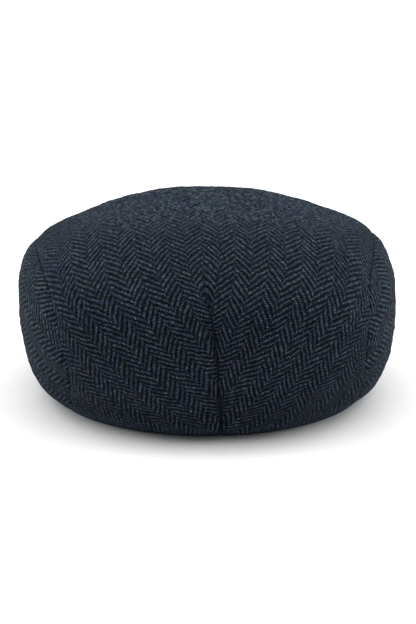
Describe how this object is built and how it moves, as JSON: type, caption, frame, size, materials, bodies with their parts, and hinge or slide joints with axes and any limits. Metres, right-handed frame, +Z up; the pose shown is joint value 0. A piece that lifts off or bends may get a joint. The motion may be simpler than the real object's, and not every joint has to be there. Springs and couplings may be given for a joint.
{
  "type": "flat cap",
  "caption": "Herringbone cloth flat cap with a full rounded crown, a dart down the back, side panels and a stiff peak.",
  "frame": {"origin": "middle of the bounding box's underside, on the surface that the cap rests on", "axes": "+Z up, -Y towards the peak, +X the wearer's left"},
  "size_m": [0.2186, 0.2872, 0.12],
  "materials": {
    "crown_cloth": "matt wool herringbone",
    "side_cloth": "matt wool herringbone",
    "peak_cloth": "matt wool herringbone"
  },
  "bodies": {
    "root": {"crown": "crown_cloth", "side_panel_left": "side_cloth", "side_panel_right": "side_cloth", "peak": "peak_cloth"}
  },
  "joints": []
}
